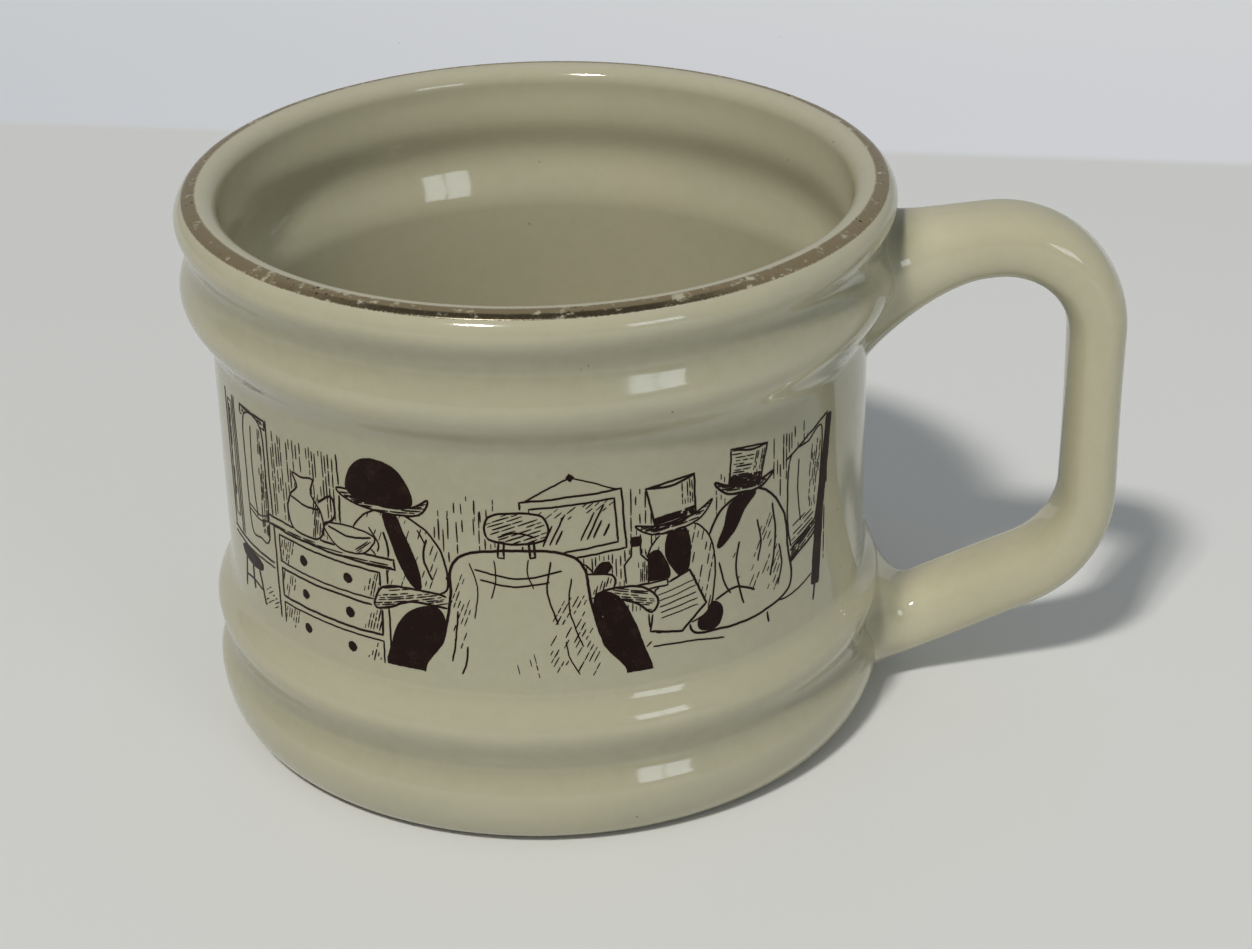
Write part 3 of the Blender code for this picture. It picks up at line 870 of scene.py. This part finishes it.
def towel_stand(pen):
    """A stand with slanting posts, a towel over its rail and a turned foot."""
    post = pen.ink(
        (104, 3.6), (105, 15), (107.6, 29.4), (108.7, 29.3), (106.5, 15), (105.6, 3.4), curved=False,
    )
    knob = pen.ink((92.6, 4.6), (91, 6.6), (92.4, 8.4), (94.6, 7.4), (94.4, 5))
    rail = pen.shape((93.4, 8.2), (98.6, 11.4), (104.6, 14.2), (104.8, 12.4), (99.2, 9.8), (94.6, 7))
    pen.hatch(rail, 28, 0.34, 0.24, 0.9)
    pen.cover(post, knob, rail)
    towel = pen.shape((98.2, 25.4), (98.8, 12), (104.2, 13.6), (106.2, 27.8), (102.6, 27.4), width=0.26)
    pen.hatch([(98.8, 12), (98.6, 15.5), (104.6, 17.2), (104.2, 13.6)], 18, 0.7, 0.2, 0.9)
    pen.hatch([(102.4, 17), (103.4, 26.8), (106, 27.2), (104.6, 16)], 82, 0.5, 0.17, 0.75, 1.8)
    pen.line((100.4, 25.4), (100.2, 20.6), (100.9, 15.4), width=0.2)
    pen.cover(towel)
    pen.line((97.4, 26.2), (102.8, 28.4), (107.8, 30), curved=False, width=0.3)
    pen.line((94, 4.6), (99, 4.2), (104.2, 5.6), width=0.26)
    pen.line((94.2, 1.6), (93.6, 4.4), width=0.4)
    pen.line((104.8, 3.4), (104.4, 0.8), width=0.4)


def doorway(pen):
    """A panelled door at the left with a roller towel beside it."""
    towel = pen.shape(
        (8.2, 30.6), (7.6, 22), (8, 12.4), (10.6, 11.8), (13.4, 12.6), (13.8, 22), (13.2, 30.6),
    )
    pen.line((8, 15.4), (10.8, 14.8), (13.5, 15.6), width=0.2)
    pen.line((8, 16.2), (10.8, 15.6), (13.5, 16.4), width=0.2)
    pen.hatch([(11.6, 12.4), (12, 30), (13.2, 30.4), (13.8, 22), (13.4, 12.8)], 86, 0.5, 0.2, 0.8, 2.2)
    pen.line((10.2, 29.6), (9.8, 22), (10.3, 15), width=0.2)
    pen.cover(towel)
    roller = pen.shape((7, 30.4), (7, 31.8), (14.4, 31.9), (14.4, 30.5), curved=False)
    pen.hatch(roller, 2, 0.35, 0.24, 0.9)
    pen.cover(roller)
    for u in (0.6, 3.9, 4.6):
        pen.line((u, 9.6), (u + 0.1, 20), (u, 32), curved=False, width=0.24)
    pen.shape((1.5, 12), (1.5, 30.6), (3.2, 30.6), (3.2, 12), curved=False, width=0.2)
    pen.hatch([(1.6, 12), (1.6, 30), (2.4, 30), (2.4, 12)], 88, 0.4, 0.18, 0.7, 2.6)
    pen.line((0.2, 9.4), (6, 9.1), (14.4, 9.2), curved=False, width=0.3)
    pen.line((0.2, 8.4), (6, 8.2), (14.4, 8.3), curved=False, width=0.22)
    stool = pen.ink((3.6, 6.6), (4.2, 7.6), (9.6, 7.5), (10.4, 6.5), (7, 5.8))
    pen.cover(stool)
    for start, end in (((4.6, 6), (3.4, 0.6)), ((9.2, 5.9), (10.6, 0.5)), ((7, 5.6), (7, 1.6))):
        pen.line(start, end, width=0.46)
    pen.line((3.9, 2.8), (7, 3.1), (10, 2.7), width=0.3)
    pen.hatch([(10.6, 0.6), (10.8, 5), (14.6, 4), (14.8, 0.6)], 35, 0.6, 0.2, 0.7, 1.4)


def wall(pen):
    """Upright strokes for the wall's boards, behind everything."""
    pen.line((14.9, 17.2), (14.8, 25), (14.9, 32.2), curved=False)
    pen.line((29.6, 21), (29.7, 27), (29.6, 31.6), curved=False)
    panels = (
        (15.6, 17.2, 29.2, 31.4, 0.72, 0.75),
        (44.6, 13.6, 56.4, 26.6, 0.74, 0.66),
        (46, 24.6, 55.4, 28.8, 1, 0.4),
        (56.4, 15, 76, 19.6, 0.62, 0.85),
        (60, 9.6, 75.6, 15.2, 0.66, 0.85),
        (71.4, 16, 76.6, 29, 0.72, 0.7),
        (83.6, 19, 87, 28.6, 0.75, 0.6),
        (94.6, 20, 99.4, 30.6, 0.74, 0.7),
        (99.4, 26.2, 104, 31, 0.8, 0.5),
        (106.6, 6, 108.4, 24, 0.7, 0.4),
    )
    for left, low, right, high, pitch, kept in panels:
        panel = ruled([(left, low), (left, high), (right, high), (right, low)], True)
        pen.hatch(panel, 90, pitch, 0.2, kept, 3.2)
    pen.line((74.6, 4.4), (72.6, 2.4), (71.9, 0.4), width=0.26)
    pen.line((74.8, 3.6), (80, 3.2), (86, 2), width=0.26)


def drawing():
    """The whole drawing, from its nearest thing to the wall behind."""
    pen = Pen(11)
    for part in (chair, washstand, hat_stand, shelf, looking_glass, coats, towel_stand, doorway, wall):
        part(pen)
    return pen


def print_piece(name, strokes, chance):
    """Strokes as thin closed ribbons that lie on the panel, a hair above the glaze."""
    work = bmesh.new()
    for run, widths in strokes:
        lift = INK_LIFT + chance.uniform(0.0, 0.01)
        rows = []
        for index, (u, v) in enumerate(run):
            before, after = run[max(index - 1, 0)], run[min(index + 1, len(run) - 1)]
            length = max(math.dist(before, after), 0.001)
            side = widths[index] / 2.0 / length
            across = (-(after[1] - before[1]) * side, (after[0] - before[0]) * side)
            row = []
            for sign, height in ((1, lift), (-1, lift), (-1, lift - INK_DEPTH), (1, lift - INK_DEPTH)):
                angle = SHEET_LEFT + (u + sign * across[0]) / PANEL_RADIUS
                radius = PANEL_RADIUS + height
                x, y = AXIS_X + radius * math.cos(angle), radius * math.sin(angle)
                row.append(work.verts.new(Vector((x, y, PRINT_BOTTOM + v + sign * across[1])) * MM))
            rows.append(row)
        for row, after in zip(rows, rows[1:]):
            for corner in range(4):
                following = (corner + 1) % 4
                work.faces.new((row[corner], row[following], after[following], after[corner]))
        work.faces.new(rows[0][::-1])
        work.faces.new(rows[-1])
    bmesh.ops.recalc_face_normals(work, faces=work.faces)
    mesh = bpy.data.meshes.new(name)
    work.to_mesh(mesh)
    work.free()
    piece = bpy.data.objects.new(name, mesh)
    bpy.context.scene.collection.objects.link(piece)
    return piece


def make_print():
    pen = drawing()
    ink = brown_ink()
    for layer, strokes in pen.layers.items():
        piece = print_piece("print_" + layer, strokes, pen.chance)
        dress(piece, ink)
        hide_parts("transfer_print")


# ---------------- finishes

CREAM = (0.475, 0.455, 0.325)
CREAM_WARM = (0.52, 0.485, 0.335)
# Colour of pooled glaze on the body, also used as painted shade
CREAM_POOLED_AND_SHADE = (0.31, 0.30, 0.205)
CREAM_THIN = (0.50, 0.475, 0.35)
# Painted light on the handle near the body, by its roots
ROOT_PAINTED_LIGHT = (0.62, 0.585, 0.42)
BISQUE = (0.50, 0.44, 0.34)
PINHOLE_DARK = (0.16, 0.11, 0.07)


def cream_glaze():
    """Glossy cream glaze: deeper where it pools, with painted shade on the panel and under the lip, paler on
    the crests, with pinholes and a soft ripple.
    """
    finish = Finish("cream_glaze")
    place = finish.place()
    x, y, z = finish.parts(place)
    out = (x * x + y * y) ** 0.5
    cloud = finish.noise(place, 26.0, 3.0)
    mottle = finish.noise(place, 2.2, 4.0, 0.6)
    grain = finish.noise(place, 0.5, 2.0)

    # Share of the darker colour by height: pooled glaze in the waist and the groove, and painted shade under
    # the lip and on the panel, darkest just under the upper ring.
    pool_and_shade_depths = (
        (0.0, 0.3), (FOOT_RING, 0.05), (GROOVE, 0.9), (LOWER_RING, 0.05), (PANEL_FOOT, 0.35),
        (PANEL_TOP, 0.7), (UPPER_RING, 0.05), (WAIST, 1.0), (LIP_CREST, 0.15), (HEIGHT, 0.0),
    )
    stops = [(height / HEIGHT, depth) for height, depth in pool_and_shade_depths]
    pooled_and_shade = finish.node("ShaderNodeValToRGB", {"stops": stops}, {"Fac": z / HEIGHT})
    on_wall = 1.0 - out.step(LARGEST_RADIUS + 0.5, LARGEST_RADIUS + 6.0)
    outside = out.step(PANEL_RADIUS - 2.0, PANEL_RADIUS - 1.0)
    pooled_and_shade = pooled_and_shade * on_wall * outside

    colour = finish.mix(cloud.step(0.3, 0.7) * 0.5, CREAM, CREAM_WARM)
    colour = finish.mix(pooled_and_shade * (0.8 + 0.2 * mottle), colour, CREAM_POOLED_AND_SHADE)
    thin = (z.step(HEIGHT - 1.6, HEIGHT) * on_wall) * 0.8
    colour = finish.mix(thin, colour, CREAM_THIN)
    colour = finish.mix((1.0 - on_wall) * 0.65, colour, CREAM_WARM)
    # Painted light: the handle is paler where it comes near the body, by its roots.
    root = (1.0 - (x - 60.0).step(-8.0, 8.0)) * (1.0 - on_wall)
    colour = finish.mix(root * 0.7, colour, ROOT_PAINTED_LIGHT)
    colour = finish.tint(colour, 0.5 * (mottle.step(0.35, 0.75)), (0.94, 0.94, 0.92))
    colour = finish.tint(colour, 0.25 * grain, (0.88, 0.88, 0.86))

    rare = finish.noise(place, 9.0, 1.0).step(0.56, 0.66)
    pinhole = (1.0 - finish.spots(place, 4.2).step(0.035, 0.06)) * rare
    colour = finish.mix(pinhole * 0.7, colour, PINHOLE_DARK)

    bare = 1.0 - z.step(0.35, 0.8)
    colour = finish.mix(bare, colour, finish.tint(BISQUE, mottle, (0.75, 0.72, 0.68)))

    ripple = finish.noise(place, 7.0, 2.0)
    peel = finish.noise(place, 1.6, 2.0)
    waves = ripple * 0.8 + peel * 0.12 - pinhole * 0.3 + bare * grain * 0.4
    smudge = finish.noise(finish.stretched(place, (1.0, 1.0, 0.6)), 14.0, 5.0, 0.6).step(0.45, 0.8)
    rough = 0.07 + smudge * 0.06 + bare * 0.7 + pinhole * 0.2
    return finish.surface(
        Base_Color=colour,
        Roughness=rough,
        Normal=finish.bump(waves, 0.12, 0.35),
        IOR=1.52,
        Specular_IOR_Level=0.5,
    )


def worn_gilt():
    """Bright gold lustre that is rubbed brown and in places through to the glaze."""
    finish = Finish("worn_gilt")
    place = finish.place()
    x, y, _ = finish.parts(place)
    out = (x * x + y * y) ** 0.5
    grain = finish.noise(place, 0.45, 4.0, 0.7)
    scuff = finish.noise(finish.stretched(place, (1.0, 1.0, 2.0)), 1.7, 5.0, 0.65)
    patch = finish.noise(place, 12.0, 2.0)
    edge_in = 1.0 - (out + grain * 0.5).step(LIP_TOP_RADIUS + 0.2, LIP_TOP_RADIUS + 0.7)
    edge_out = (out + grain * 0.4).step(LIP_TOP_RADIUS + 2.35, LIP_TOP_RADIUS + 2.55)
    rubbed = (scuff + patch * 0.35).step(0.72, 0.86)
    gone = 1.0 - (1.0 - edge_in) * (1.0 - edge_out) * (1.0 - rubbed * 0.85)
    dark = (grain * 0.6 + scuff * 0.5).step(0.5, 0.72)
    pit = (1.0 - finish.spots(place, 1.5).step(0.12, 0.2)) * patch.step(0.42, 0.6)
    gold = finish.mix(dark * 0.75, (0.37, 0.29, 0.165), (0.165, 0.128, 0.068))
    # A darker line along the outer part of the band, on the front only.
    front = 1.0 - (y + patch * 12.0).step(-44.0, -30.0)
    front_dark_line = (out + grain * 0.3).step(LIP_TOP_RADIUS + 1.35, LIP_TOP_RADIUS + 1.75) * front
    gold = finish.mix(front_dark_line * 0.85, gold, (0.035, 0.028, 0.015))
    gold = finish.mix(pit, gold, (0.06, 0.04, 0.03))
    colour = finish.mix(gone, gold, CREAM_THIN)
    return finish.surface(
        Base_Color=colour,
        Metallic=(1.0 - gone) * (0.75 - dark * 0.35),
        Roughness=0.26 + dark * 0.22 + pit * 0.3 - gone * 0.1,
        Normal=finish.bump(grain + scuff, 0.03, 0.4),
    )


def brown_ink():
    """Fired brown ink, thinner in places."""
    finish = Finish("brown_ink")
    place = finish.place()
    thin = finish.noise(place, 3.0, 3.0, 0.6)
    grain = finish.noise(place, 0.22, 2.0)
    faded = (thin * 0.6 + grain * 0.5).step(0.55, 0.85)
    return finish.surface(
        Base_Color=finish.mix(faded, (0.010, 0.0025, 0.0012), (0.045, 0.02, 0.011)),
        Roughness=0.32 + grain * 0.1,
        Specular_IOR_Level=0.12,
    )


def pale_table():
    """A white top with specks of dust, which turns into a cooler, paler sheet behind the mug, with painted
    shade on the sheet: darker near its near edge and towards the left.
    """
    finish = Finish("pale_table")
    place = finish.place()
    x, y, _ = finish.parts(place)
    cloud = finish.noise(place, 90.0, 3.0)
    grain = finish.noise(place, 0.8, 3.0)
    behind = y + x * 0.126
    back = behind.step(236.5, 242.0)
    # Painted shade: the sheet is darker near its near edge and lighter further back.
    rise = behind.step(240.0, 420.0)
    # Painted shade: the sheet darkens towards the left.
    left = 1.0 - (x + y * 0.3).step(-220.0, 260.0)
    table = finish.mix(cloud * 0.5, (0.80, 0.81, 0.80), (0.76, 0.77, 0.765))
    sheet = finish.mix(rise, (0.86, 0.88, 0.93), (0.92, 0.94, 0.97))
    sheet = finish.tint(sheet, left * 0.55, (0.78, 0.80, 0.82))
    colour = finish.mix(back, table, sheet)
    colour = finish.tint(colour, grain * 0.15, (0.92, 0.92, 0.92))
    dust = 1.0 - finish.spots(place, 34.0).step(0.007, 0.011)
    colour = finish.tint(colour, dust * 0.75, (0.22, 0.20, 0.18))
    rough = 0.42 + back * 0.4
    return finish.surface(Base_Color=colour, Roughness=rough, Normal=finish.bump(grain, 0.02, 0.2))


# ---------------- stage, light and camera

# The stage is in metres, but for the gap under the foot
TABLE_RADIUS = 6.0
TABLE_GAP = 0.02

# Each light is a pair: name, way from the mug, half the angle between the two, distance, width,
# height, radiance and colour
LIGHTS = (
    ("lamp", (-0.232, -0.553, 0.800), 2.7, 4.8, 0.38, 0.38, 163.0, (1.0, 0.97, 0.92)),
    ("window", (0.589, -0.736, 0.335), 4.6, 5.0, 0.71, 1.08, 4.6, (0.86, 0.93, 1.0)),
)


def make_table():
    """A wide floor a hair below the foot, so that the two don't share a plane."""
    deselect()
    place = (0.0, 0.0, -TABLE_GAP * MM)
    bpy.ops.mesh.primitive_circle_add(vertices=96, radius=TABLE_RADIUS, fill_type="NGON", location=place)
    table = bpy.context.object
    table.name = "table_top"
    table.data.materials.append(pale_table())


def add_panel(name, way, distance, width, height, radiance, colour):
    """A rectangular light that faces the mug from a direction, as bright as its radiance says."""
    aim = Vector((AXIS_X * MM, 0.0, HEIGHT * MM / 2.0))
    way = Vector(way).normalized()
    light = bpy.data.lights.new(name, "AREA")
    light.shape = "RECTANGLE"
    light.size = width
    light.size_y = height
    light.color = colour
    light.energy = radiance * math.pi * width * height
    lamp = bpy.data.objects.new(name, light)
    bpy.context.scene.collection.objects.link(lamp)
    lamp.location = aim + way * distance
    lamp.rotation_euler = way.to_track_quat("Z", "Y").to_euler()


def make_lights():
    """Two warm lamps side by side, and a cool window in two panes."""
    for name, way, half_angle, distance, width, height, radiance, colour in LIGHTS:
        for index, side in enumerate((-1.0, 1.0)):
            turn = Matrix.Rotation(math.radians(half_angle) * side, 3, "Z")
            add_panel("%s_%d" % (name, index), turn @ Vector(way), distance, width, height, radiance, colour)


def make_world():
    """A pale room: brighter behind the mug than behind the viewer."""
    world = bpy.data.worlds.new("pale_room")
    bpy.context.scene.world = world
    world.use_nodes = True
    tree = world.node_tree
    background = tree.nodes["Background"]
    coordinate = tree.nodes.new("ShaderNodeTexCoord")
    facing = tree.nodes.new("ShaderNodeVectorMath")
    facing.operation = "DOT_PRODUCT"
    facing.inputs[1].default_value = (0.4, 0.92, 0.0)
    tree.links.new(coordinate.outputs["Generated"], facing.inputs[0])
    ramp = tree.nodes.new("ShaderNodeMapRange")
    for end, value in (("From Min", -0.9), ("From Max", 0.9), ("To Min", 0.145), ("To Max", 0.365)):
        ramp.inputs[end].default_value = value
    tree.links.new(facing.outputs["Value"], ramp.inputs["Value"])
    tree.links.new(ramp.outputs[0], background.inputs["Strength"])
    background.inputs["Color"].default_value = (0.93, 0.97, 1.0, 1.0)


def make_camera():
    """Looks down on the rim from in front, a little round to the handle's side."""
    turned_by = 0.06
    yaw = 0.0320 - turned_by
    pitch = 0.4726
    roll = -0.0205
    distance = 384.5
    height = 230.6
    eye = Vector((AXIS_X + distance * math.sin(turned_by), -distance * math.cos(turned_by), height)) * MM
    ahead = Vector((math.sin(yaw) * math.cos(pitch), math.cos(yaw) * math.cos(pitch), -math.sin(pitch)))
    right = Vector((math.cos(yaw), -math.sin(yaw), 0.0))
    up = right.cross(ahead)
    tilted_right = right * math.cos(roll) + up * math.sin(roll)
    tilted_up = up * math.cos(roll) - right * math.sin(roll)
    camera = bpy.data.objects.new("camera", bpy.data.cameras.new("camera"))
    bpy.context.scene.collection.objects.link(camera)
    turn = Matrix((tilted_right, tilted_up, -ahead)).transposed()
    camera.matrix_world = Matrix.Translation(eye) @ turn.to_4x4()
    camera.data.sensor_width = 36.0
    camera.data.lens = 80.51
    camera.data.clip_start = 0.02
    bpy.context.scene.camera = camera


def main():
    make_camera()
    make_world()
    make_lights()
    make_table()
    glaze = cream_glaze()

    body = turned("body_glazed", body_profile())
    dress(body, glaze)
    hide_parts("mug_body")

    handle = make_handle()
    dress(handle, glaze)
    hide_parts("handle", "upper_slip_joint", "lower_slip_joint")

    gilt = make_gilt()
    dress(gilt, worn_gilt())
    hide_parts("gilt_rim_band")

    make_print()


bpy.context.scene.view_settings.view_transform = "Standard"
main()
